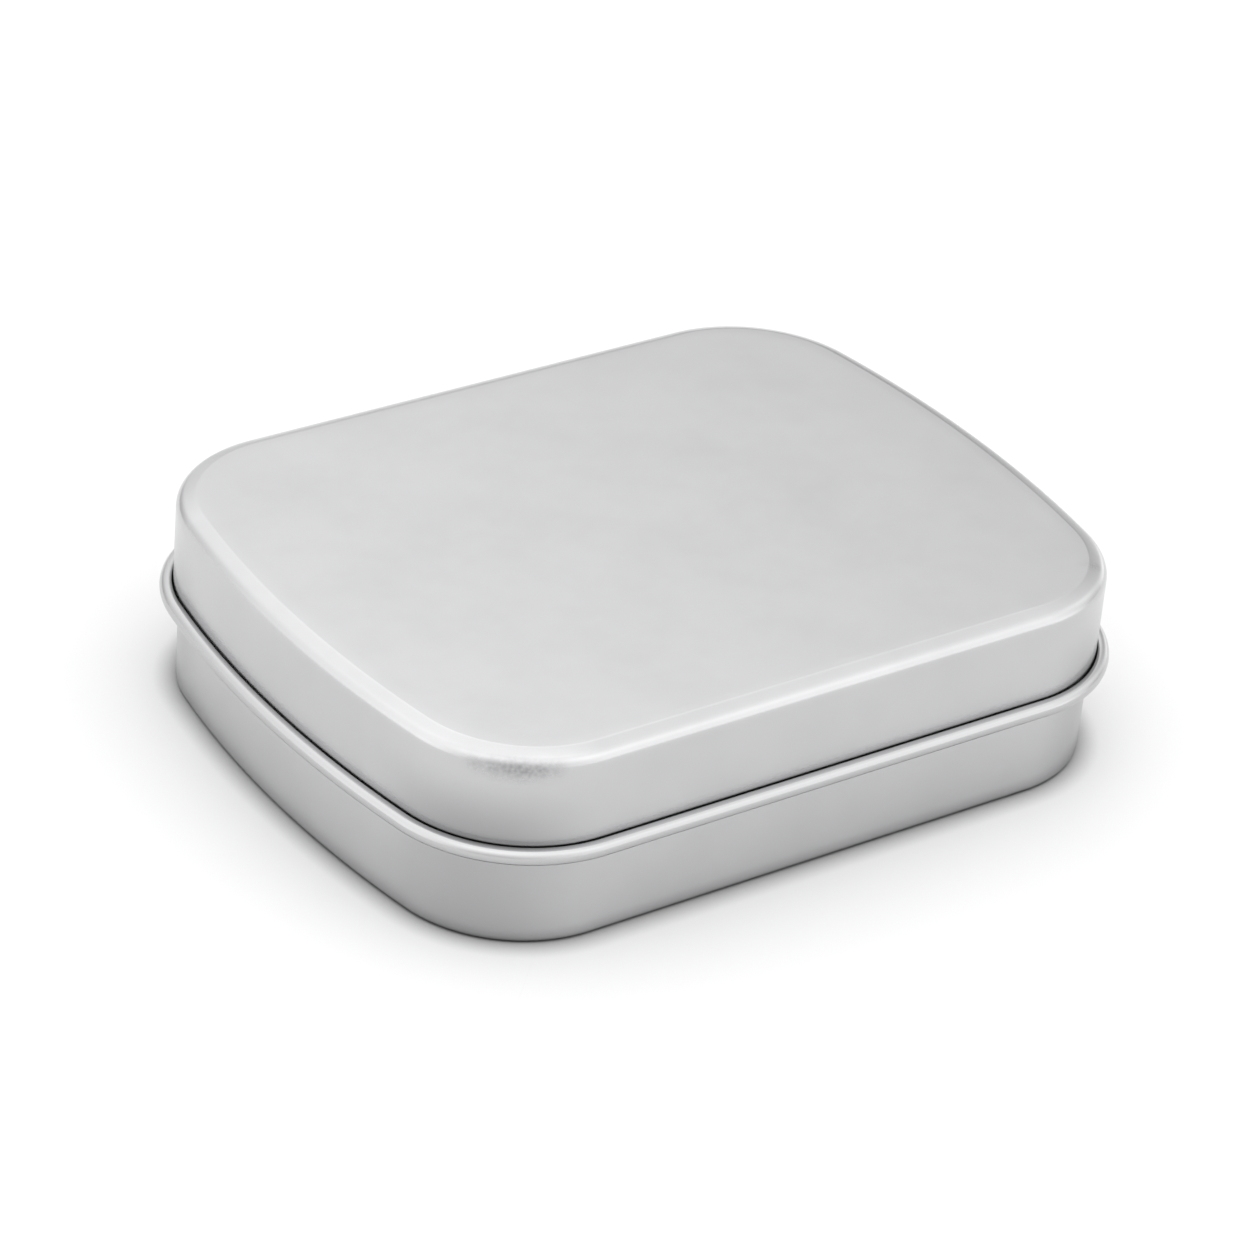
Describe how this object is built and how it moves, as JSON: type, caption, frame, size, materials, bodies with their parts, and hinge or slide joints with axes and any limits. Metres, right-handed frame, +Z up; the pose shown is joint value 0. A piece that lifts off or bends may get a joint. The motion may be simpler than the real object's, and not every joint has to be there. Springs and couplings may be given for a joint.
{
  "type": "hinged tin",
  "caption": "Small flat tin with rounded corners and gently bowed ends, a lid with a curled lower edge over a drawn base, and a wire hinge along the back, in plain satin tinplate.",
  "frame": {"origin": "on the surface that the shut tin stands on, under the middle of its box", "axes": "+Z up through the lid, +X along the long sides, +Y towards the hinge, so the side that opens is -Y"},
  "size_m": [0.062, 0.049, 0.0152],
  "materials": {
    "base_tinplate": "bare bright tinplate, satin, faint rolling grain",
    "lid_tinplate": "bare bright tinplate, satin, faint rolling grain",
    "wire_steel": "drawn steel wire, dull"
  },
  "bodies": {
    "base": {"base": "base_tinplate"},
    "lid": {"lid": "lid_tinplate", "hinge_wire": "wire_steel"}
  },
  "joints": [
    {"name": "lid_hinge", "type": "hinge", "parent": "base", "child": "lid", "pos_m": [0, 0.02387, 0.0076], "axis": [-1, 0, 0], "range_deg": [0, 110]}
  ]
}
